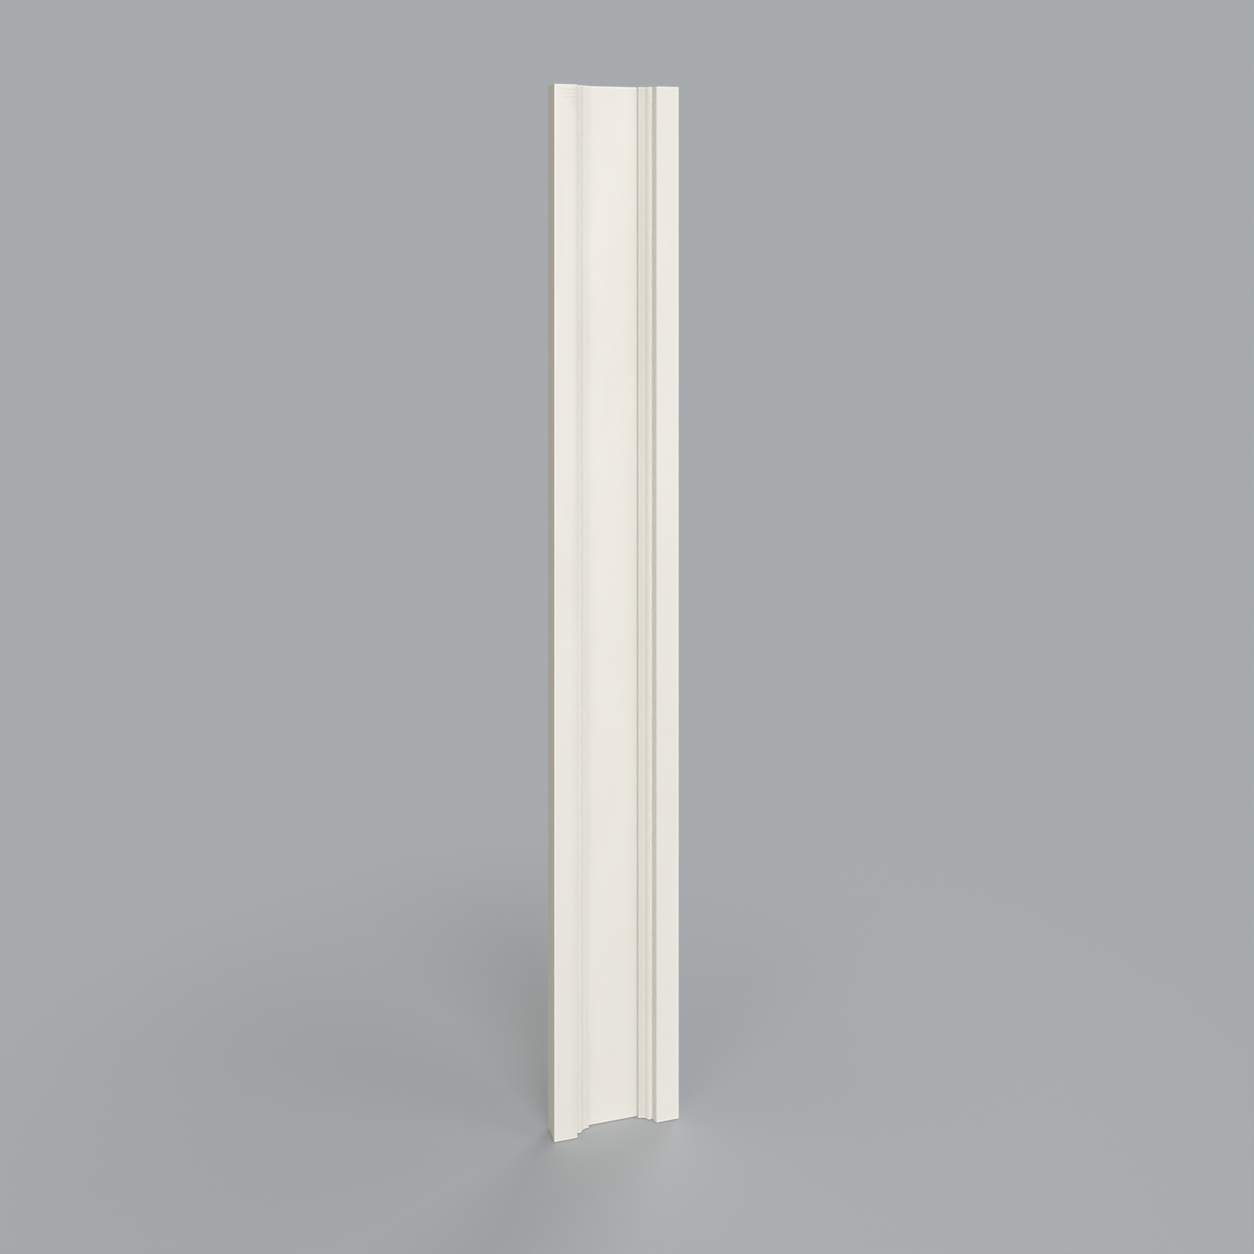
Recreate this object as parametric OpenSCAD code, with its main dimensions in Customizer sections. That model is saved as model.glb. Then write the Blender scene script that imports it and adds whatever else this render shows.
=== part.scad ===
// Pilaster shaft with a sunk panel, moulded in one piece and fixed flat to a wall.
// Its section is the same from foot to head, so the section is drawn once, in plan,
// and run up the full height. The back lies in the plane y = 0 and the face looks to -Y.

/* [Shaft] */
// Height of the shaft, cut square at the foot and at the head
shaft_h = 2000; // [400:10:3000]
// Width across both outer bands
shaft_w = 249; // [220:1:400]
// Distance from the wall to the face of the bands
shaft_t = 47; // [45:0.5:90]

/* [Bands and panel] */
// Width of each flat outer band
band_w = 45.5; // [20:0.5:50]
// Rounding of the bands' outer arrises
band_arris_r = 1; // [0.5:0.1:3]
// Depth of the panel below the face of the bands
panel_depth = 31.5; // [28:0.5:36]

/* [Moulding, from the band in to the panel] */
// Depth of the return that falls from the band to the bead
return_depth = 15; // [12:0.1:18]
// Lean of that return over its depth, so that the casting leaves its mould
return_draft = 4.3; // [1:0.1:6]
// Flat quirk between the return and the bead
quirk_w = 0.7; // [0.5:0.1:4]
// Width of the bead where it rises from the quirk
bead_w = 7.4; // [6:0.1:10]
// Height of the bead's crest above the quirk
bead_rise = 2; // [1:0.1:3]
// Radius of the hollow cove below the bead
cove_r = 10; // [8.5:0.1:12]
// How far the cove falls from the quirk to its foot
cove_drop = 7.5; // [6:0.1:8]
// Fall of the small line between the cove and the fillet
line_depth = 0.9; // [0.4:0.1:1.5]
// Width of the flat fillet beside the panel
fillet_w = 6.6; // [3:0.1:10]
// Lean of the last step, from the fillet down to the panel
step_draft = 1.2; // [0.5:0.1:3]

/* [Hidden] */
$fn = 96;

cut_past = 5;                                             // how far a cut runs past the face
face_y = -shaft_t;                                        // plane of the band faces
quirk_y = face_y + return_depth;                          // plane that the bead rises from
bead_r = (pow(bead_w / 2, 2) + pow(bead_rise, 2)) / (2 * bead_rise);
bead_root = 0.5;                                          // how far a bead is rooted in the board
cove_lip = 0.4;                                           // flat lip between bead and cove
cove_y = quirk_y + cove_drop - cove_r;                    // centre of the cove's circle
fillet_y = quirk_y + cove_drop + line_depth;              // plane of the fillet
panel_y = face_y + panel_depth;                           // plane of the panel

// Half widths, measured out from the middle of the shaft
band_in = shaft_w / 2 - band_w;                           // inner arris of a band
quirk_out = band_in - return_draft;                       // foot of the return
bead_mid = quirk_out - quirk_w - bead_w / 2;              // middle of the bead
cove_top = bead_mid - bead_w / 2 - cove_lip;              // where the cove starts to fall
cove_reach = sqrt(pow(cove_r, 2) - pow(cove_r - cove_drop, 2));
cove_mid = cove_top - cove_reach;                         // centre of the cove's circle
fillet_in = cove_mid - fillet_w;                          // edge of the last step
panel_half = fillet_in - step_draft;                      // edge of the panel

// The plain board: square at the back, its two front arrises eased
module board() {
    flat_half = shaft_w / 2 - band_arris_r;
    translate([-flat_half, face_y])
        square([2 * flat_half, shaft_t]);
    translate([-shaft_w / 2, face_y + band_arris_r])
        square([shaft_w, shaft_t - band_arris_r]);
    for (side = [-1, 1])
        translate([side * flat_half, face_y + band_arris_r])
            circle(r = band_arris_r);
}

// Everything straight that is sunk between the bands, as [half width, y] from the face in
function sunk_half() = [
    [band_in, face_y - cut_past],
    [band_in, face_y],
    [quirk_out, quirk_y],
    [cove_mid, quirk_y],
    [cove_mid, fillet_y],
    [fillet_in, fillet_y],
    [panel_half, panel_y]
];

module sunk_panel() {
    right = sunk_half();
    last = len(right) - 1;
    left = [for (i = [last : -1 : 0]) [-right[i][0], right[i][1]]];
    polygon(concat(right, left));
}

module coves() {
    for (side = [-1, 1])
        translate([side * cove_mid, cove_y])
            circle(r = cove_r);
}

// A bead is the cap of a circle, rooted a little below the quirk
module beads() {
    for (side = [-1, 1])
        intersection() {
            translate([side * bead_mid, quirk_y - bead_rise + bead_r])
                circle(r = bead_r);
            translate([side * bead_mid - bead_w / 2, quirk_y - bead_rise])
                square([bead_w, bead_rise + bead_root]);
        }
}

module section() {
    difference() {
        board();
        sunk_panel();
        coves();
    }
    beads();
}

module pilaster_shaft() {
    color("ivory")
        linear_extrude(height = shaft_h)
            section();
}

pilaster_shaft();
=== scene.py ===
# %% [markdown]
# # A panelled pilaster shaft
#
# A pilaster is a flat column that is fixed to a wall. This one is a single casting: two plain
# outer bands, a sunk panel between them, and a small moulding that steps down from each band to
# the panel. In this lesson we draw its section once, run it up the full height the way a
# plasterer drags a running mould, and then give it the skin of a primed casting.
#
# The first cell loads the frame: the part as it was built and measured. Everything below is in
# metres, in the frame's own axes: +Z up the shaft, the wall at y = 0, the face towards -Y. Small
# sizes are easier to read in millimetres, so they are written as a number times `MM`.

import math

import bmesh
import bpy
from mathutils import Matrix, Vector, noise


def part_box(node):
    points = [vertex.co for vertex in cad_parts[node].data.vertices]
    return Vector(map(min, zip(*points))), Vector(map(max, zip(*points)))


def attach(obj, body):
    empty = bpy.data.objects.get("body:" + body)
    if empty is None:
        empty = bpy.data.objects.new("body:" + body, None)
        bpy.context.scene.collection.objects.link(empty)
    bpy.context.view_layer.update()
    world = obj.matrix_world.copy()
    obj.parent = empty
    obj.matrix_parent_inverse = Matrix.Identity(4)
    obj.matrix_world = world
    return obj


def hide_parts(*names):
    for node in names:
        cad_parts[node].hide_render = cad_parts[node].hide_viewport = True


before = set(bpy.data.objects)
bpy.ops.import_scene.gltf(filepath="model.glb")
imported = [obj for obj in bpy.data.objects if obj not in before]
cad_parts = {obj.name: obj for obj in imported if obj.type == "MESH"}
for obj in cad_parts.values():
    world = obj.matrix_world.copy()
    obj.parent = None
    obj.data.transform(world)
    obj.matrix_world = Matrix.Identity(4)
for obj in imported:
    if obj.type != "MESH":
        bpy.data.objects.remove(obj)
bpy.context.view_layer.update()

MM = 0.001
SHAFT = "pilaster_shaft"
low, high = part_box(SHAFT)
shaft_w = high.x - low.x
shaft_h = high.z - low.z
half_w = shaft_w / 2


def add_object(name, data):
    """Make an object from its data and put it in the scene."""
    thing = bpy.data.objects.new(name, data)
    bpy.context.scene.collection.objects.link(thing)
    return thing


print(f"shaft: {shaft_w:.3f} wide, {high.y - low.y:.3f} deep, {shaft_h:.3f} tall")

# %% [markdown]
# ## The camera
#
# The eye is that of a standing person, to the left of the shaft, looking straight ahead: the
# camera is level, so that upright lines stay upright and parallel. A level camera would put
# the horizon across the middle of the picture and waste half of it on what is above the head
# of the shaft. A view camera slides its lens down instead of being tipped, and Blender calls that
# slide `shift_y`.

# %% Stand the camera
EYE = Vector((-0.8397, -2.7934, 1.7607))  # where the eye is, from the foot of the shaft
TURN = math.radians(-17.37)               # turned a little to the right
LENS = 43.07                              # focal length, in the camera's own millimetres
SENSOR_W = 36                             # and the width of the sensor behind it
SLIDE = -0.3322                           # the lens slid down, in widths of the picture

camera_data = bpy.data.cameras.new("camera")
camera_data.lens = LENS
camera_data.sensor_width = SENSOR_W
camera_data.shift_y = SLIDE
camera = add_object("camera", camera_data)
camera.location = EYE
camera.rotation_euler = (math.radians(90), 0, TURN)
bpy.context.scene.camera = camera
print(f"camera: {(EYE - Vector((0, 0, EYE.z))).length:.2f} m off, {EYE.z:.2f} m up")

# %% [markdown]
# ## The section
#
# Every straight moulding is a section that has been dragged along a line, so the section is
# what has to be right. Here are its members, from the band in to the panel, each with its size:
#
# - the return: falls from the band, leaning a little so that the casting leaves its mould;
# - the quirk: a narrow flat groove;
# - the bead: a small round;
# - the cove: a hollow that falls away below the bead;
# - the line and the fillet: a tiny step and a flat strip;
# - the last step, down to the sunk panel.

# %% Name the members
BAND_W = 45.5 * MM
PANEL_DEPTH = 31.5 * MM
RETURN_DEPTH = 15 * MM
RETURN_DRAFT = 4.3 * MM
QUIRK_W = 0.7 * MM
BEAD_W = 7.4 * MM
BEAD_RISE = 2 * MM
LIP_W = 0.4 * MM
COVE_R = 10 * MM
COVE_DROP = 7.5 * MM
LINE_DEPTH = 0.9 * MM
FILLET_W = 6.6 * MM
STEP_DRAFT = 1.2 * MM

face_y = low.y                                 # the face of the bands
quirk_y = face_y + RETURN_DEPTH                # the floor of the quirk
fillet_y = quirk_y + COVE_DROP + LINE_DEPTH    # the face of the fillet
panel_y = face_y + PANEL_DEPTH                 # the face of the panel

band_in = half_w - BAND_W
quirk_out = band_in - RETURN_DRAFT
bead_out = quirk_out - QUIRK_W
bead_in = bead_out - BEAD_W
bead_mid = (bead_in + bead_out) / 2
cove_top = bead_in - LIP_W
cove_lift = COVE_R - COVE_DROP                 # the cove's centre stands this far above the quirk
cove_mid = cove_top - math.sqrt(COVE_R**2 - cove_lift**2)
fillet_in = cove_mid - FILLET_W
panel_half = fillet_in - STEP_DRAFT
print(f"panel: {2 * panel_half / MM:.1f} mm wide, moulding: {(band_in - panel_half) / MM:.1f} mm")

# %% [markdown]
# ## Drawing with a walking pencil
#
# We draw the right-hand half of the section as a chain of edges. `step_to` extrudes the point
# under the pencil to a new place, which leaves a straight edge behind it. `swing` uses Blender's
# spin operator on that point, which leaves an arc. Both hand back the new end of the chain, and
# corners that the real casting has softened are remembered with the radius they get.

# %% Helpers that draw
ARC_STEPS = 14

bm = bmesh.new()
soft_corners = []


def step_to(pencil, x, y, soften=0.0):
    """Draw a straight edge from the pencil to (x, y) and return its far end."""
    extruded = bmesh.ops.extrude_vert_indiv(bm, verts=[pencil])
    far_end = extruded["verts"][0]
    far_end.co = (x, y, 0)
    if soften:
        soft_corners.append((far_end, soften))
    return far_end


def swing(pencil, centre, angle, soften=0.0):
    """Draw an arc round a centre, by a signed angle about +Z, and return its far end."""
    spun = bmesh.ops.spin(bm, geom=[pencil], cent=(*centre, 0), axis=(0, 0, 1), angle=angle,
                          steps=ARC_STEPS, use_duplicate=False)
    far_end = next(v for v in spun["geom_last"] if isinstance(v, bmesh.types.BMVert))
    if soften:
        soft_corners.append((far_end, soften))
    return far_end


print(f"an arc gets {ARC_STEPS} edges")

# %% [markdown]
# The two arcs need a little geometry. The cove starts straight behind its centre and swings until
# it is level with the quirk. The bead is the cap of a circle: its width and its rise give the
# radius, and the radius gives the angle that it spans.

# %% Draw half of the section
STEP_EASE = 0.4 * MM                 # radius at the corners of the last step, and at the back
LINE_EASE = 0.15 * MM                # at the small line and the lip
QUIRK_EASE = 0.3 * MM
INNER_EASE = 0.7 * MM                # at the band's inner arris
OUTER_EASE = 1.0 * MM                # at its outer arris

cove_turn = math.pi / 2 - math.asin(cove_lift / COVE_R)
bead_r = ((BEAD_W / 2)**2 + BEAD_RISE**2) / (2 * BEAD_RISE)
bead_turn = 2 * math.asin(BEAD_W / 2 / bead_r)

pencil = bmesh.ops.create_vert(bm, co=(0, panel_y, 0))["vert"][0]
pencil = step_to(pencil, panel_half, panel_y, soften=STEP_EASE)
pencil = step_to(pencil, fillet_in, fillet_y, soften=STEP_EASE)
pencil = step_to(pencil, cove_mid, fillet_y, soften=LINE_EASE)
pencil = step_to(pencil, cove_mid, quirk_y + COVE_DROP, soften=LINE_EASE)
pencil = swing(pencil, (cove_mid, quirk_y - cove_lift), -cove_turn, soften=LINE_EASE)
pencil = step_to(pencil, bead_in, quirk_y)
pencil = swing(pencil, (bead_mid, quirk_y - BEAD_RISE + bead_r), bead_turn)
pencil = step_to(pencil, quirk_out, quirk_y, soften=QUIRK_EASE)
pencil = step_to(pencil, band_in, face_y, soften=INNER_EASE)
pencil = step_to(pencil, half_w, face_y, soften=OUTER_EASE)
pencil = step_to(pencil, half_w, 0, soften=STEP_EASE)
pencil = step_to(pencil, 0, 0)
print(f"half section: {len(bm.verts)} points, {len(soft_corners)} of them corners to soften")

# %% [markdown]
# ## Softening the corners
#
# No cast corner is truly sharp. Bevel works on single points of a wire as well as on edges:
# each remembered corner becomes a small arc of four edges. It is done now, while the section is
# only a wire, because a corner rounded here is rounded along the whole shaft.

# %% Soften the corners
CORNER_STEPS = 4
for corner, radius in soft_corners:
    bmesh.ops.bevel(bm, geom=[corner], offset=radius, offset_type="OFFSET",
                    segments=CORNER_STEPS, profile=0.5, affect="VERTICES", material=-1)
print(f"softened: {len(bm.verts)} points")

# %% [markdown]
# ## Mirroring it
#
# The two sides are the same, so the other half is a mirror image, welded where the halves meet
# in the middle of the panel and of the back. The wide flats are first cut into short edges.
# A flat needs no cuts to be flat, but a real casting is never quite flat, and the cuts let us
# breathe a little life into it later.

# %% Cut the flats and mirror the half
FLAT_CUT = 4 * MM
WELD = 0.01 * MM

for edge in list(bm.edges):
    cuts = int(edge.calc_length() / FLAT_CUT)
    if cuts > 1:
        bmesh.ops.subdivide_edges(bm, edges=[edge], cuts=cuts - 1)
bmesh.ops.mirror(bm, geom=bm.verts[:] + bm.edges[:], axis="X", merge_dist=WELD)
print(f"whole section: {len(bm.verts)} points in a ring")

# %% [markdown]
# ## Running the section up
#
# Now the section is extruded upwards in lifts. The lifts are long over most of the height and
# a millimetre each in the last few centimetres, because a patch of fine ripples comes there, and
# ripples need points to bend at.

# %% Run the section up in lifts
LONG_LIFT = 50 * MM
SHORT_LIFT = 1 * MM
RIPPLE_ZONE = 40 * MM
DOUBLES = 0.001 * MM                 # points closer than this are one point

long_lifts = int((shaft_h - RIPPLE_ZONE) / LONG_LIFT)
short_lifts = round(RIPPLE_ZONE / SHORT_LIFT)
lift_heights = [LONG_LIFT * (i + 1) for i in range(long_lifts)]
lift_heights += [shaft_h - SHORT_LIFT * i for i in range(short_lifts, -1, -1)]

foot_ring = bm.edges[:]
ring = foot_ring
for z in lift_heights:
    lifted = bmesh.ops.extrude_edge_only(bm, edges=ring)["geom"]
    ring = [e for e in lifted if isinstance(e, bmesh.types.BMEdge)]
    ring_points = {v for e in ring for v in e.verts}
    for v in ring_points:
        v.co.z = z

for end_ring in (foot_ring, ring):
    bmesh.ops.triangle_fill(bm, edges=end_ring, use_beauty=True)
bmesh.ops.remove_doubles(bm, verts=bm.verts, dist=DOUBLES)
bmesh.ops.recalc_face_normals(bm, faces=bm.faces)
open_edges = [e for e in bm.edges if len(e.link_faces) != 2]
print(f"shaft: {len(bm.faces)} faces, {len(open_edges)} open edges")

# %% [markdown]
# ## The blemishes of a casting
#
# Two small departures from the perfect section make the shaft look made rather than drawn. The
# foam has pulled the flats in by a hair here and there as it set. And where the mould was
# struck off at the head, a few shallow ripples cross one band: deepest at the band's inner
# arris, and dying out towards its outer one. Both only ever move a point inwards, so that the
# shaft keeps the size it was built to.

# %% Let the flats breathe and ripple one band
ON_PLANE = 1 * MM                 # a point this close to a plane is taken to lie on it
BREATH = 0.2 * MM                 # deepest hollow in a flat
BREATH_SPAN = 0.35                # distance from one hollow to the next
RIPPLE_PITCH = 7.4 * MM
RIPPLE_DEPTH = 0.35 * MM
RIPPLE_TOP = 6 * MM               # where the first ripple starts, below the head
RIPPLE_COUNT = 3
RIPPLE_REACH = 36 * MM            # how far the ripples run in from the arris
REACH_MEAN = 0.75                 # a row runs this share of that, give or take
REACH_SPREAD = 0.35
ROW_APART = 3.7                   # how far apart the rows read the noise
FADE_GAIN = 1.6                   # above 1, so that a ripple keeps its depth for a while

for v in bm.verts:
    if v.co.y < -ON_PLANE:
        hollow = 0.5 + 0.5 * noise.noise(v.co / BREATH_SPAN)
        v.co.y += BREATH * hollow

ripple_foot = RIPPLE_TOP + RIPPLE_PITCH * RIPPLE_COUNT
for v in bm.verts:
    below_head = shaft_h - v.co.z
    past_arris = -band_in - v.co.x            # how far out it is from the left band's inner arris
    on_band = past_arris > 0 and v.co.x > -half_w and v.co.y < face_y + ON_PLANE
    if on_band and RIPPLE_TOP < below_head < ripple_foot:
        turn = (below_head - RIPPLE_TOP) / RIPPLE_PITCH
        row_noise = noise.noise(Vector((int(turn) * ROW_APART, 0, 0)))
        reach = RIPPLE_REACH * (REACH_MEAN + REACH_SPREAD * row_noise)
        fade = max(0.0, 1 - past_arris / reach)
        wave = 0.5 - 0.5 * math.cos(2 * math.pi * turn)
        v.co.y += RIPPLE_DEPTH * wave * min(1.0, FADE_GAIN * fade)
print(f"blemishes: hollows to {BREATH / MM:.1f} mm, {RIPPLE_COUNT} ripples of {RIPPLE_DEPTH / MM:.2f} mm")

# %% [markdown]
# The casting is now a mesh like any other. Its arcs are shaded smooth and its corners stay crisp.
# Weighted Normal lets the big faces decide how the light turns, so the flats look flat right up
# to their softened edges.

# %% Make it an object
SHARP_ABOVE = math.radians(35)

mesh = bpy.data.meshes.new("pilaster_shaft_casting")
bm.to_mesh(mesh)
bm.free()
casting = add_object("pilaster_shaft_casting", mesh)

mesh.shade_smooth()
mesh.set_sharp_from_angle(angle=SHARP_ABOVE)
weigh = casting.modifiers.new("keep the flats flat", "WEIGHTED_NORMAL")
weigh.keep_sharp = True

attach(casting, "root")
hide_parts(SHAFT)
print(f"casting: {len(mesh.polygons)} faces")

# %% [markdown]
# ## A small kit for the finish
#
# Blender paints a surface with a tree of nodes. The first helpers keep the tree readable: one
# feeds a socket with a number or with another node's output, one adds a node, one does a sum and
# one multiplies as many outputs as it is given.

# %% Helpers for nodes and sums
def feed(socket, term):
    """Give a socket a plain value, or wire it to another node's output."""
    if isinstance(term, bpy.types.NodeSocket):
        socket.id_data.links.new(term, socket)
    else:
        socket.default_value = term


def add_node(tree, kind, **inputs):
    """Add a node and feed its inputs, named as in the editor with _ for each space."""
    node = tree.nodes.new(kind)
    for name, term in inputs.items():
        feed(node.inputs[name.replace("_", " ")], term)
    return node


def maths(tree, operation, first, second=0.0):
    """Do one sum and return its result."""
    sum_node = tree.nodes.new("ShaderNodeMath")
    sum_node.operation = operation
    feed(sum_node.inputs[0], first)
    feed(sum_node.inputs[1], second)
    return sum_node.outputs[0]


def product(tree, first, *others):
    """Multiply outputs together and return the result."""
    for other in others:
        first = maths(tree, "MULTIPLY", first, other)
    return first


print("helpers: feed, add_node, maths, product")

# %% [markdown]
# The next ones make patterns. Every pattern is read from Object coordinates, which are metres
# from the foot of the shaft, so a mark stays where it is on the casting whatever the camera does.
# A noise hovers round a half: `split` takes the span round that half and spreads it from one tone
# to the other, so a narrow span gives patches and a wide one gives clouds.

# %% Helpers for patterns and colours
def spread(tree, term, low_in, high_in, low_out=0.0, high_out=1.0):
    """Turn one span of values into another, with soft shoulders."""
    spreader = add_node(tree, "ShaderNodeMapRange", Value=term, From_Min=low_in, From_Max=high_in,
                        To_Min=low_out, To_Max=high_out)
    spreader.interpolation_type = "SMOOTHSTEP"
    return spreader.outputs["Result"]


def split(tree, cloud, half_span, low_out=0.0, high_out=1.0):
    """Spread the middle of a noise from one value to another."""
    return spread(tree, cloud, 0.5 - half_span, 0.5 + half_span, low_out, high_out)


def blotches(tree, place, size, roughening=0.5, shift=0.0):
    """Return soft noise whose blotches have this size along X, Y and Z, in metres."""
    stretch = add_node(tree, "ShaderNodeMapping", Vector=place, Location=(shift, shift, shift),
                       Scale=[1 / length for length in size])
    cloud = add_node(tree, "ShaderNodeTexNoise", Vector=stretch.outputs["Vector"], Scale=1.0,
                     Detail=3.0, Roughness=roughening)
    return cloud.outputs["Fac"]


def tint(tree, how, colour, other, amount=1.0):
    """Mix one colour with another and return the result."""
    mixer = tree.nodes.new("ShaderNodeMix")
    mixer.data_type = "RGBA"
    mixer.blend_type = how
    feed(mixer.inputs["Factor"], amount)
    feed(mixer.inputs[6], colour)
    feed(mixer.inputs[7], other)
    return mixer.outputs[2]


def start_finish(name):
    """Start a finish and return its material, its tree, its shader and its coordinates."""
    finish = bpy.data.materials.new(name)
    finish.use_nodes = True
    tree = finish.node_tree
    place = tree.nodes.new("ShaderNodeTexCoord").outputs["Object"]
    return finish, tree, tree.nodes["Principled BSDF"], place


print("helpers: spread, split, blotches, tint, start_finish")

# %% [markdown]
# ## Ivory primer: its colour
#
# The face was sprayed with a matt ivory primer. Sprayed primer is nearly one colour, but not
# quite: where the coat is full it is a little paler, where it is thin a little of the foam warms
# it, and the gun leaves faint streaks up the shaft because that is the way it travelled. All of
# this is very quiet. Two ivories a hundredth or two apart, mixed by soft blotches, are enough; any
# more and it would read as dirt.

# %% Mix the ivory primer
FULL_COAT = (0.801, 0.779, 0.735, 1)
THIN_COAT = (0.787, 0.764, 0.716, 1)
ROSY = (1.000, 0.994, 0.991, 1)
LEAFY = (0.994, 0.999, 0.986, 1)
COAT_BLOTCH = (70 * MM, 70 * MM, 220 * MM)
COAT_SPAN = 0.20
CAST_BLOTCH = (50 * MM, 50 * MM, 90 * MM)
CAST_SPAN = 0.15
STREAK = (3 * MM, 3 * MM, 400 * MM)
STREAK_SPAN = 0.25
STREAK_TONE = 0.992

primer, primer_tree, primer_shader, primer_place = start_finish("ivory primer")
coat = blotches(primer_tree, primer_place, COAT_BLOTCH)
ivory = tint(primer_tree, "MIX", THIN_COAT, FULL_COAT, split(primer_tree, coat, COAT_SPAN))
hue = blotches(primer_tree, primer_place, CAST_BLOTCH, shift=7.0)
cast = tint(primer_tree, "MIX", ROSY, LEAFY, split(primer_tree, hue, CAST_SPAN))
ivory = tint(primer_tree, "MULTIPLY", ivory, cast)
streak = blotches(primer_tree, primer_place, STREAK, shift=3.0)
streak_tone = split(primer_tree, streak, STREAK_SPAN, STREAK_TONE, 1.0)
print(f"primer: blotches {COAT_BLOTCH[0] / MM:.0f} mm wide, streaks {STREAK[2] / MM:.0f} mm long")

# %% [markdown]
# ## Ivory primer: painted shade and highlights
#
# Look along any moulding and you will see its lines before you see its shapes. Here they are
# painted into the colour: painted shade in the inner corners, and painted highlights on the crests
# and beside the panel's edges. On our section every point of the moulding has its own distance
# from the middle, so a colour ramp laid across that distance can shade each member by name. The
# stops hang on the members' own edges, so they follow the section if it is changed.

# %% Paint shade into the hollows and highlights onto the crests
# painted shade where a tone is below 1, and a painted highlight where it is above 1
shade_and_highlight_tones = [                     # how far from the middle, and the tone there
    (panel_half - 12 * MM, 1.00),
    (panel_half - 5 * MM, 1.02),
    (panel_half - 1 * MM, 1.02),
    (panel_half, 1.03),
    (panel_half + 0.3 * MM, 0.86),
    (fillet_in, 0.87),
    (fillet_in + 1 * MM, 0.94),
    (fillet_in + 2.5 * MM, 0.97),
    (cove_mid - 2 * MM, 0.92),
    (cove_mid, 0.96),
    (cove_mid + 1.5 * MM, 0.96),
    (cove_mid + 3 * MM, 1.00),
    (cove_top - 1.5 * MM, 0.98),
    (cove_top, 1.06),
    (bead_in + 2.5 * MM, 0.95),
    (bead_out - 2 * MM, 1.10),
    (quirk_out, 0.96),
    (quirk_out + 1.5 * MM, 0.90),
    (band_in - 0.5 * MM, 0.94),
    (band_in + 0.5 * MM, 0.98),
    (band_in + 2 * MM, 1.00),
]
ramp_start = shade_and_highlight_tones[0][0]
ramp_end = shade_and_highlight_tones[-1][0]

axes = add_node(primer_tree, "ShaderNodeSeparateXYZ", Vector=primer_place)
from_middle = maths(primer_tree, "ABSOLUTE", axes.outputs["X"])
along_ramp = add_node(primer_tree, "ShaderNodeMapRange", Value=from_middle, From_Min=ramp_start,
                      From_Max=ramp_end)
ramp = add_node(primer_tree, "ShaderNodeValToRGB", Fac=along_ramp.outputs["Result"])
stops = ramp.color_ramp.elements                # a new ramp already has a stop at each end
stops[0].color = (1, 1, 1, 1)
for distance, tone in shade_and_highlight_tones[1:-1]:
    stop = stops.new((distance - ramp_start) / (ramp_end - ramp_start))
    stop.color = (tone, tone, tone, 1)
print(f"ramp: {len(stops)} stops over {(ramp_end - ramp_start) / MM:.1f} mm")

# %% [markdown]
# A painted highlight runs in a line just inside every outer arris and along the two sawn ends. A
# distance does this well: we measure how far a point is from the nearest edge, and pale it where
# that distance is close to two millimetres. Painted shade makes the lower part of the shaft a
# little greyer than the rest.

# %% Paint a highlight along the arrises and shade at the foot
HIGHLIGHT_INSET = 2 * MM                  # the painted highlight runs this far in from an arris or an end
HIGHLIGHT_REACH = 1.9 * MM
HIGHLIGHT_TONE = 1.14
FOOT_SHADE_REACH = 0.4
FOOT_SHADE = 0.985


def edge_gap(tree, point):
    """Return how far a point is from the nearest side or end of the shaft."""
    side_gap = maths(tree, "SUBTRACT", half_w, maths(tree, "ABSOLUTE", point.outputs["X"]))
    head_gap = maths(tree, "SUBTRACT", shaft_h, point.outputs["Z"])
    return maths(tree, "MINIMUM", side_gap, maths(tree, "MINIMUM", point.outputs["Z"], head_gap))


# a painted highlight: paler in a line just inside the arrises and the ends
from_line = maths(primer_tree, "SUBTRACT", edge_gap(primer_tree, axes), HIGHLIGHT_INSET)
off_line = maths(primer_tree, "ABSOLUTE", from_line)
arris_highlight_tone = spread(primer_tree, off_line, 0.0, HIGHLIGHT_REACH, HIGHLIGHT_TONE, 1.0)
# painted shade: darker over the lowest part of the shaft, towards the foot
foot_shade_tone = spread(primer_tree, axes.outputs["Z"], 0.0, FOOT_SHADE_REACH, FOOT_SHADE, 1.0)
print(f"worn arrises: {100 * (HIGHLIGHT_TONE - 1):.0f} % paler, {HIGHLIGHT_INSET / MM:.0f} mm in")

# %% [markdown]
# Some upright strips have a tone of their own, and the two sides of the shaft aren't alike in
# this: one band is darker beside its moulding, the beads and a lip get painted highlights, and
# painted shade lies over the mouldings in the upper half. Each strip is one line of a list that
# says where its middle is, how wide half of it is and how much darker it is. A strip with a
# negative figure is paler.

# %% Give the strips their tones
STRIP_CORE = 0.4                     # the share of a strip that has its full tone
SHADE_FROM = 0.45                     # the painted shade starts and is complete at these shares of the height
SHADE_FULL_AT = 0.75


def strip(middle, half_width):
    """Return 1 in an upright strip of the shaft and 0 outside it, with soft edges."""
    off_middle = maths(primer_tree, "ABSOLUTE", maths(primer_tree, "SUBTRACT", axes.outputs["X"], middle))
    return spread(primer_tree, off_middle, STRIP_CORE * half_width, half_width, 1.0, 0.0)


def darken(share, by):
    """Return a tone that is darker by a part where the share is 1."""
    return maths(primer_tree, "SUBTRACT", 1.0, product(primer_tree, share, by))


# strips at full height: painted highlights on the beads and the lip, and one darker strip
plain_strips = [
    (-band_in - 4 * MM, 8 * MM, 0.035),            # a darker strip on the left band, by its moulding
    (-bead_out + 0.9 * MM, 2 * MM, -0.05),         # a painted highlight on the left bead's outer shoulder
    (bead_mid + 1 * MM, 2 * MM, -0.105),           # a painted highlight on the right bead, beside its crest
    ((cove_top + bead_in) / 2, 1.8 * MM, -0.07),   # and a painted highlight on the lip beside it
]
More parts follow.
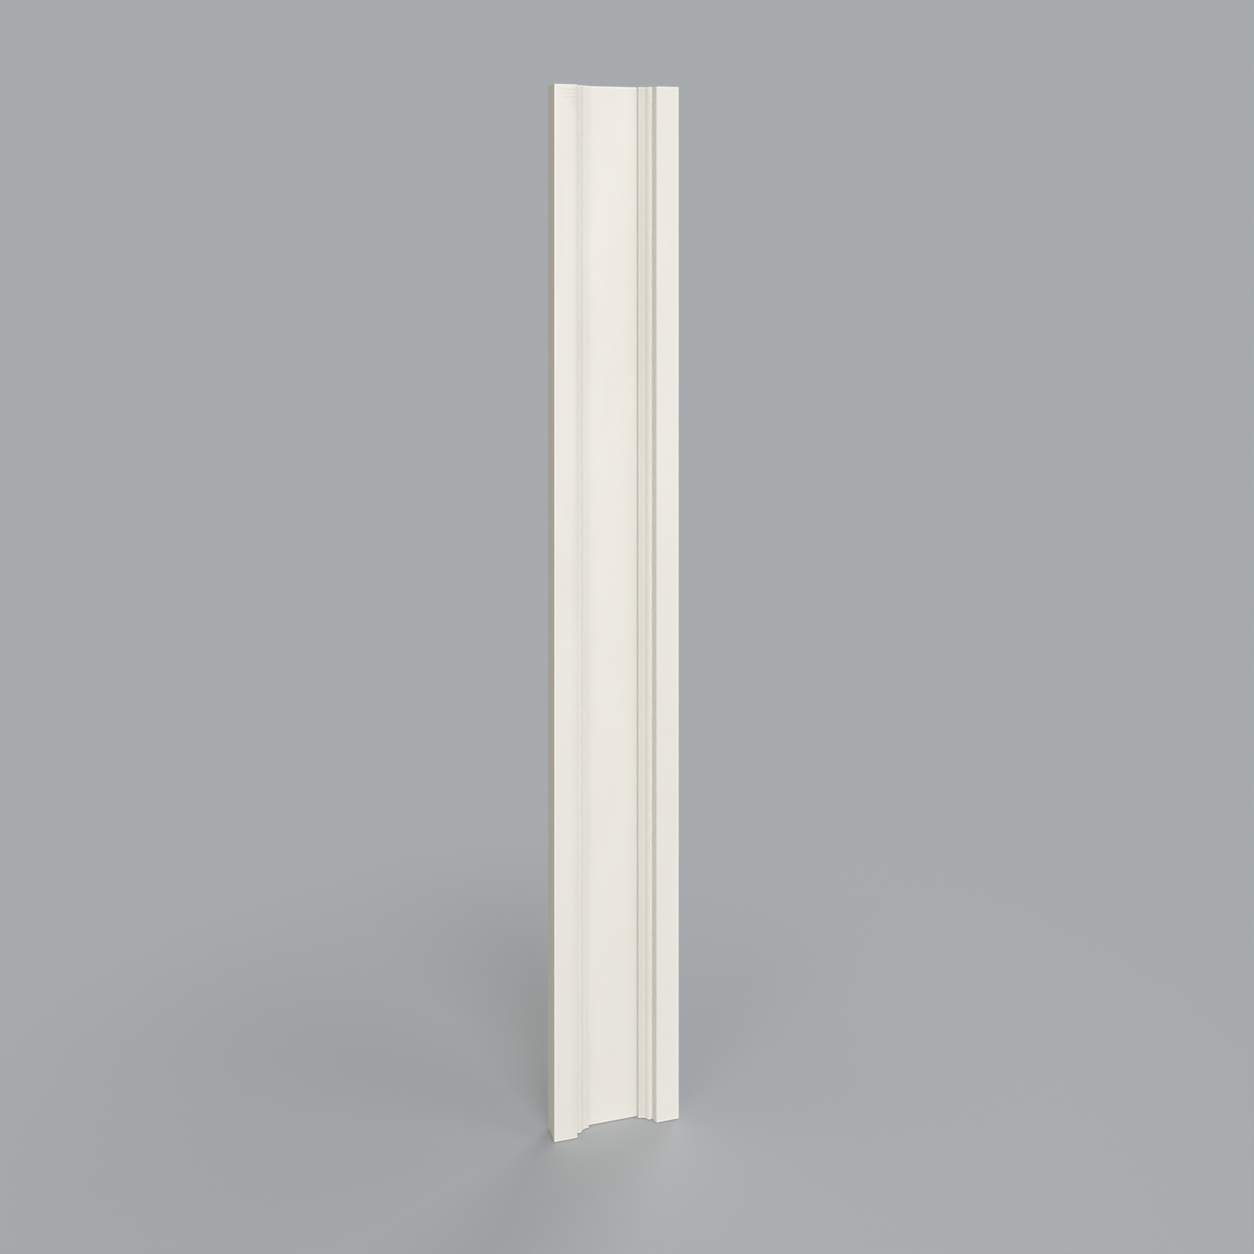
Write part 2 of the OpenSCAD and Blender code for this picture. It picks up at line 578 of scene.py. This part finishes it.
# painted shade over the mouldings, fading out below the upper half
upper_shade_strips = [
    (-band_in - 2 * MM, 3 * MM, 0.065),            # the left band's inner arris
    (-bead_mid, 5 * MM, 0.065),                    # the left bead
    ((panel_half + band_in) / 2, 18 * MM, 0.038),  # the whole of the right moulding
]
shaded_above = spread(primer_tree, axes.outputs["Z"], SHADE_FROM * shaft_h, SHADE_FULL_AT * shaft_h)
strip_tones = [darken(strip(middle, half_width), by) for middle, half_width, by in plain_strips]
strip_tones += [darken(product(primer_tree, strip(middle, half_width), shaded_above), by)
                for middle, half_width, by in upper_shade_strips]
print(f"strips: {len(strip_tones)}, of which {len(upper_shade_strips)} are dusty")

# %% [markdown]
# The ripples at the head get painted shade as well. A shallow ripple hardly shows in soft light
# that comes from the front, so its troughs are painted darker. The same wave that bent the mesh
# is written again in nodes, from the same sizes, so the painted shade lies exactly in the troughs.
# It is then multiplied by everything that bounds the patch.

# %% Shade the ripples
RIPPLE_SHADE = 0.085
RIPPLE_ONSET = 1 * MM                # the tone comes and goes over this height
ABOVE_FIRST = 0.25                   # and this share of it is left above the first ripple
FULL_REACH = 0.4                     # it is full over this share of the ripples' reach

from_head = maths(primer_tree, "SUBTRACT", shaft_h, axes.outputs["Z"])
along_wave = maths(primer_tree, "DIVIDE", maths(primer_tree, "SUBTRACT", from_head, RIPPLE_TOP),
                   RIPPLE_PITCH / (2 * math.pi))
trough = spread(primer_tree, maths(primer_tree, "COSINE", along_wave), -1.0, 1.0, 1.0, 0.0)
started = spread(primer_tree, from_head, RIPPLE_TOP - RIPPLE_ONSET, RIPPLE_TOP, ABOVE_FIRST, 1.0)
stopped = spread(primer_tree, from_head, ripple_foot, ripple_foot + RIPPLE_ONSET, 1.0, 0.0)
reached = spread(primer_tree, axes.outputs["X"], -band_in - RIPPLE_REACH,
                 -band_in - FULL_REACH * RIPPLE_REACH)
on_left = maths(primer_tree, "LESS_THAN", axes.outputs["X"], -band_in)
# painted shade in the ripples' troughs
trough_shade = product(primer_tree, trough, started, stopped, reached, on_left)
ripple_shade_tone = darken(trough_shade, RIPPLE_SHADE)
print(f"ripples: {100 * RIPPLE_SHADE:.1f} % darker in the troughs")

# %% [markdown]
# Below the last ripple a faint smudge runs a little way down the band. Then the primer has all of
# its tones, and its base colour is the ivory multiplied by every one of them.

# %% Smudge the band and put the colour together
SMUDGE_DARKENING = 0.05
SMUDGE_INSET = 8 * MM                # its middle, in from the inner arris
SMUDGE_HALF_W = 9 * MM
SMUDGE_LENGTH = 26 * MM

past_ripples = maths(primer_tree, "SUBTRACT", 1.0, stopped)
run_out = spread(primer_tree, from_head, ripple_foot, ripple_foot + SMUDGE_LENGTH, 1.0, 0.0)
smudge_strip = strip(-band_in - SMUDGE_INSET, SMUDGE_HALF_W)
smudge_tone = darken(product(primer_tree, smudge_strip, past_ripples, run_out), SMUDGE_DARKENING)

tones = [streak_tone, arris_highlight_tone, *strip_tones, foot_shade_tone, ripple_shade_tone, smudge_tone]
tone = product(primer_tree, ramp.outputs["Color"], *tones)
feed(primer_shader.inputs["Base Color"], tint(primer_tree, "MULTIPLY", ivory, tone))
print(f"primer: a ramp and {len(tones)} more tones")

# %% [markdown]
# ## Ivory primer: its surface
#
# Close to, sprayed primer has a fine grain like orange peel, and under it the flat of the
# casting rolls by about a tenth of a millimetre. Both are far too small to model, so they are
# bump: a height for the light only. The distances are real heights, and the sheen is broken up
# by the same blotches as the colour, because a full coat dries a little smoother.

# %% Give the primer its grain and sheen
GRAIN_SIZE = (1.1 * MM, 1.1 * MM, 1.3 * MM)
GRAIN_HEIGHT = 0.02 * MM
ROLL_SIZE = (18 * MM, 18 * MM, 45 * MM)
ROLL_HEIGHT = 0.12 * MM
THIN_ROUGHNESS = 0.62
FULL_ROUGHNESS = 0.52
PRIMER_SHINE = 0.4

grain = blotches(primer_tree, primer_place, GRAIN_SIZE, roughening=0.6)
roll = blotches(primer_tree, primer_place, ROLL_SIZE, shift=5.0)
rolled = add_node(primer_tree, "ShaderNodeBump", Height=roll, Distance=ROLL_HEIGHT)
grained = add_node(primer_tree, "ShaderNodeBump", Height=grain, Distance=GRAIN_HEIGHT,
                   Normal=rolled.outputs["Normal"])
feed(primer_shader.inputs["Normal"], grained.outputs["Normal"])
dullness = split(primer_tree, coat, COAT_SPAN, THIN_ROUGHNESS, FULL_ROUGHNESS)
feed(primer_shader.inputs["Roughness"], dullness)
primer_shader.inputs["Specular IOR Level"].default_value = PRIMER_SHINE
mesh.materials.append(primer)
print(f"primer: grain {GRAIN_HEIGHT / MM:.2f} mm high, roll {ROLL_HEIGHT / MM:.2f} mm")

# %% [markdown]
# ## The back
#
# Nobody sees the back once the shaft is up, so nobody primes it. It shows the skin of the
# poured foam: creamier than the primer, dull, cloudy where the pour folded over itself, and with
# a scatter of pinholes. The only primer on it is the overspray that has crept round the edges.
# The edge of that mist is broken up with noise, or it would look masked with tape.

# %% Colour the foam skin
SKIN_PALE = (0.770, 0.742, 0.675, 1)
SKIN_DEEP = (0.715, 0.678, 0.598, 1)
OVERSPRAY = (0.787, 0.764, 0.717, 1)
FOLD_BLOTCH = (60 * MM, 60 * MM, 160 * MM)
FOLD_SPAN = 0.18
MIST_REACH = 14 * MM
MIST_BLOTCH = (12 * MM, 12 * MM, 30 * MM)
MIST_FULL_TO = 0.35                  # shares of the reach, with the noise added in
MIST_GONE_AT = 1.4

skin, skin_tree, skin_shader, skin_place = start_finish("foam skin")
fold = blotches(skin_tree, skin_place, FOLD_BLOTCH, roughening=0.6)
foam = tint(skin_tree, "MIX", SKIN_DEEP, SKIN_PALE, split(skin_tree, fold, FOLD_SPAN))

rim_gap = edge_gap(skin_tree, add_node(skin_tree, "ShaderNodeSeparateXYZ", Vector=skin_place))
drift = product(skin_tree, blotches(skin_tree, skin_place, MIST_BLOTCH, shift=2.0), MIST_REACH)
mist = spread(skin_tree, maths(skin_tree, "ADD", rim_gap, drift), MIST_FULL_TO * MIST_REACH,
              MIST_GONE_AT * MIST_REACH, 1.0, 0.0)
foam = tint(skin_tree, "MIX", foam, OVERSPRAY, mist)
print(f"back: overspray reaches in {MIST_REACH / MM:.0f} mm")

# %% [markdown]
# A Voronoi pattern gives the pinholes: its distance is zero at each cell's seed and grows
# outwards, which is the shape of a pit. Read close to the seeds only, it leaves small round holes
# with flat skin between them. The folds of the pour get a height as well as a colour, and their
# hollows are duller than their crests.

# %% Prick the pinholes
PINHOLE_PITCH = 7 * MM
PINHOLE_SIZE = 0.09                  # as a share of the pitch
PINHOLE_FLOOR = 0.4                  # the share of a hole that is flat floor
PINHOLE_DEPTH = 0.3 * MM
PINHOLE_SHADE = 0.72
FOLD_HEIGHT = 0.4 * MM
DEEP_ROUGHNESS = 0.80
PALE_ROUGHNESS = 0.68
SKIN_SHINE = 0.3

pinholes = add_node(skin_tree, "ShaderNodeTexVoronoi", Vector=skin_place, Scale=1 / PINHOLE_PITCH)
hole_span = (PINHOLE_FLOOR * PINHOLE_SIZE, PINHOLE_SIZE)
hole_floor = spread(skin_tree, pinholes.outputs["Distance"], *hole_span)
# painted shade: the foam is darker inside each pinhole
hole_shade_tone = spread(skin_tree, pinholes.outputs["Distance"], *hole_span, PINHOLE_SHADE, 1.0)
feed(skin_shader.inputs["Base Color"], tint(skin_tree, "MULTIPLY", foam, hole_shade_tone))
pitted = add_node(skin_tree, "ShaderNodeBump", Height=hole_floor, Distance=PINHOLE_DEPTH)
folded = add_node(skin_tree, "ShaderNodeBump", Height=fold, Distance=FOLD_HEIGHT,
                  Normal=pitted.outputs["Normal"])
feed(skin_shader.inputs["Normal"], folded.outputs["Normal"])
skin_dullness = split(skin_tree, fold, FOLD_SPAN, DEEP_ROUGHNESS, PALE_ROUGHNESS)
feed(skin_shader.inputs["Roughness"], skin_dullness)
skin_shader.inputs["Specular IOR Level"].default_value = SKIN_SHINE
mesh.materials.append(skin)
print(f"back: pinholes {PINHOLE_SIZE * PINHOLE_PITCH / MM:.1f} mm in radius")

# %% [markdown]
# ## The sawn ends
#
# The shaft is cut square from a longer length, so the saw has opened the foam at the foot and
# at the head. It is creamy and full of fine pores, which are Voronoi pits again, but close
# together. The saw has left faint scores from side to side: the same noise as everywhere, drawn
# out to a metre along X and no wider than a saw's tooth along Y.

# %% Make the sawn foam
SAWN_PALE = (0.765, 0.735, 0.665, 1)
SAWN_PORE_SHADE = (0.70, 0.66, 0.575, 1)
PORE_PITCH = 0.9 * MM
PORE_FLOOR = 0.1                     # a pore's floor and its rim, as shares of the pitch
PORE_RIM = 0.5
PORE_DEPTH = 0.25 * MM
PORE_ROUGHNESS = 0.90                # in a pore, and on the foam between the pores
WALL_ROUGHNESS = 0.75
SAWN_SHINE = 0.25
SCORE = (1.0, 1.6 * MM, 1.0)         # the size of a score along X, Y and Z
SCORE_DEPTH = 0.05 * MM
DENSITY_BLOTCH = (20 * MM, 20 * MM, 20 * MM)
DENSITY_SPAN = 0.2
DENSITY_TONE = 0.96

sawn, sawn_tree, sawn_shader, sawn_place = start_finish("sawn foam")
pores = add_node(sawn_tree, "ShaderNodeTexVoronoi", Vector=sawn_place, Scale=1 / PORE_PITCH)
pore_wall = spread(sawn_tree, pores.outputs["Distance"], PORE_FLOOR, PORE_RIM)
scores = blotches(sawn_tree, sawn_place, SCORE, shift=1.0)
density = blotches(sawn_tree, sawn_place, DENSITY_BLOTCH, shift=4.0)
# painted shade: the pore floors take the darker foam colour
cut_foam = tint(sawn_tree, "MIX", SAWN_PORE_SHADE, SAWN_PALE, pore_wall)
cut_tone = split(sawn_tree, density, DENSITY_SPAN, DENSITY_TONE, 1.0)
feed(sawn_shader.inputs["Base Color"], tint(sawn_tree, "MULTIPLY", cut_foam, cut_tone))
pored = add_node(sawn_tree, "ShaderNodeBump", Height=pore_wall, Distance=PORE_DEPTH)
scored = add_node(sawn_tree, "ShaderNodeBump", Height=scores, Distance=SCORE_DEPTH,
                  Normal=pored.outputs["Normal"])
feed(sawn_shader.inputs["Normal"], scored.outputs["Normal"])
sawn_dullness = spread(sawn_tree, pore_wall, 0.0, 1.0, PORE_ROUGHNESS, WALL_ROUGHNESS)
feed(sawn_shader.inputs["Roughness"], sawn_dullness)
sawn_shader.inputs["Specular IOR Level"].default_value = SAWN_SHINE
mesh.materials.append(sawn)
print(f"ends: pores {PORE_PITCH / MM:.1f} mm apart, scores {SCORE[1] / MM:.1f} mm apart")

# %% [markdown]
# ## Which face wears which finish
#
# The three finishes are in the casting's material slots, in the order they were appended. A
# face is told its slot by the way it looks: up or down is a sawn end, straight back is the foam
# skin, and everything else was in front of the spray gun.

# %% Hand out the finishes
PRIMER_SLOT, SKIN_SLOT, SAWN_SLOT = range(3)
FACING = 0.9                         # how nearly a face has to look one way, at most 1

worn_by = [0, 0, 0]
for face in mesh.polygons:
    if abs(face.normal.z) > FACING:
        face.material_index = SAWN_SLOT
    elif face.normal.y > FACING:
        face.material_index = SKIN_SLOT
    else:
        face.material_index = PRIMER_SLOT
    worn_by[face.material_index] += 1
print(f"faces: {worn_by[0]} primed, {worn_by[1]} foam skin, {worn_by[2]} sawn")

# %% [markdown]
# ## The floor
#
# The shaft stands on a plain pale floor. A floor that stops makes a hard edge and a floor that
# goes on for ever makes a horizon, so this one is a wide disc that fades out to the colour of
# the air: near the foot it is a matt surface that takes a shadow, and further off it mixes into
# a see-through shader. It lies a hair below the foot, because a sawn end never touches all
# along, and the thin dark line in that gap is what makes a thing look as if it stands.

# %% Lay the floor
FLOOR_RADIUS = 6.0
FLOOR_SIDES = 96
FLOOR_GAP = 1.5 * MM

disc = bmesh.new()
bmesh.ops.create_circle(disc, cap_ends=True, segments=FLOOR_SIDES, radius=FLOOR_RADIUS)
bmesh.ops.translate(disc, verts=disc.verts, vec=(0, 0, -FLOOR_GAP))
floor_mesh = bpy.data.meshes.new("floor")
disc.to_mesh(floor_mesh)
disc.free()
floor = add_object("floor", floor_mesh)
print(f"floor: a disc of {FLOOR_RADIUS} m, {FLOOR_GAP / MM:.1f} mm below the foot")

# %% [markdown]
# The fading is a distance once more: how far a point of the floor is from the foot decides how
# much of the matt shader is left and how much is see-through.

# %% Fade the floor out
FLOOR_SOLID_TO = 0.35
FLOOR_GONE_AT = 1.5
FLOOR_GREY = (0.585, 0.612, 0.642, 1)
FLOOR_ROUGHNESS = 0.8

ground, ground_tree, ground_shader, ground_place = start_finish("pale floor")
ground_shader.inputs["Base Color"].default_value = FLOOR_GREY
ground_shader.inputs["Roughness"].default_value = FLOOR_ROUGHNESS
from_foot = ground_tree.nodes.new("ShaderNodeVectorMath")
from_foot.operation = "LENGTH"
feed(from_foot.inputs[0], ground_place)
gone = spread(ground_tree, from_foot.outputs["Value"], FLOOR_SOLID_TO, FLOOR_GONE_AT)
clear = ground_tree.nodes.new("ShaderNodeBsdfTransparent")
fading = add_node(ground_tree, "ShaderNodeMixShader", Fac=gone)
feed(fading.inputs[1], ground_shader.outputs["BSDF"])
feed(fading.inputs[2], clear.outputs["BSDF"])
feed(ground_tree.nodes["Material Output"].inputs["Surface"], fading.outputs["Shader"])
floor_mesh.materials.append(ground)
print(f"floor: solid to {FLOOR_SOLID_TO} m from the foot, gone at {FLOOR_GONE_AT} m")

# %% [markdown]
# ## The air of the studio
#
# The air does two jobs. It lights the shadows, and it is the grey seen behind the shaft. One
# colour can't do both well, so the world mixes two backgrounds: Light Path says whether a ray
# comes straight from the camera, and only those rays see the backdrop grey.

# %% Fill the studio with air
AIR = (0.318, 0.322, 0.312, 1)
BACKDROP = (0.385, 0.405, 0.42, 1)

world = bpy.data.worlds.new("studio")
bpy.context.scene.world = world
world.use_nodes = True
air_tree = world.node_tree
air = air_tree.nodes["Background"]
air.inputs["Color"].default_value = AIR
backdrop = add_node(air_tree, "ShaderNodeBackground", Color=BACKDROP)
ray = air_tree.nodes.new("ShaderNodeLightPath")
chooser = add_node(air_tree, "ShaderNodeMixShader", Fac=ray.outputs["Is Camera Ray"])
feed(chooser.inputs[1], air.outputs["Background"])
feed(chooser.inputs[2], backdrop.outputs["Background"])
feed(air_tree.nodes["World Output"].inputs["Surface"], chooser.outputs["Shader"])
bpy.context.scene.view_settings.view_transform = "Standard"
print("air and backdrop set")

# %% [markdown]
# ## The lights
#
# Four big soft boxes stand round the shaft, as high as its head, and all are tipped down at a
# point a little above its middle. The key is straight in front, so the flats are even from edge
# to edge. The filler on the left is weak and warm: the shaft's left side faces it, and stays in
# half shade so that the shaft has a corner. The filler on the right catches the hollows that the
# key flattens. The last one is behind, and only matters when somebody walks round to look at the
# back.

# %% Stand the lights
LAMP_SIZE = 3.0
LAMP_HEIGHT = 2.0
AIM = Vector((0, 0, 1.2))
COOL = (0.974, 1.0, 1.053)
WARM = (1.15, 1.0, 0.75)
FAINTLY_WARM = (1.07, 1.0, 0.96)


def stand_lamp(name, azimuth, watts, colour=(1, 1, 1), distance=7.0):
    """Stand a soft box at an azimuth in degrees from the front, positive to the right."""
    data = bpy.data.lights.new(name, "AREA")
    data.shape = "SQUARE"
    data.size = LAMP_SIZE
    data.energy = watts
    data.color = colour
    lamp = add_object(name, data)
    turn = math.radians(azimuth)
    lamp.location = (distance * math.sin(turn), -distance * math.cos(turn), LAMP_HEIGHT)
    lamp.rotation_euler = (AIM - lamp.location).to_track_quat("-Z", "Y").to_euler()
    print(f"{name}: {watts} W at {azimuth} degrees, {distance} m off")


stand_lamp("key", azimuth=0, watts=255, colour=COOL)
stand_lamp("left filler", azimuth=-45, watts=78, colour=WARM)
stand_lamp("right filler", azimuth=50, watts=92, colour=FAINTLY_WARM)
stand_lamp("back light", azimuth=135, watts=110, distance=5.7)
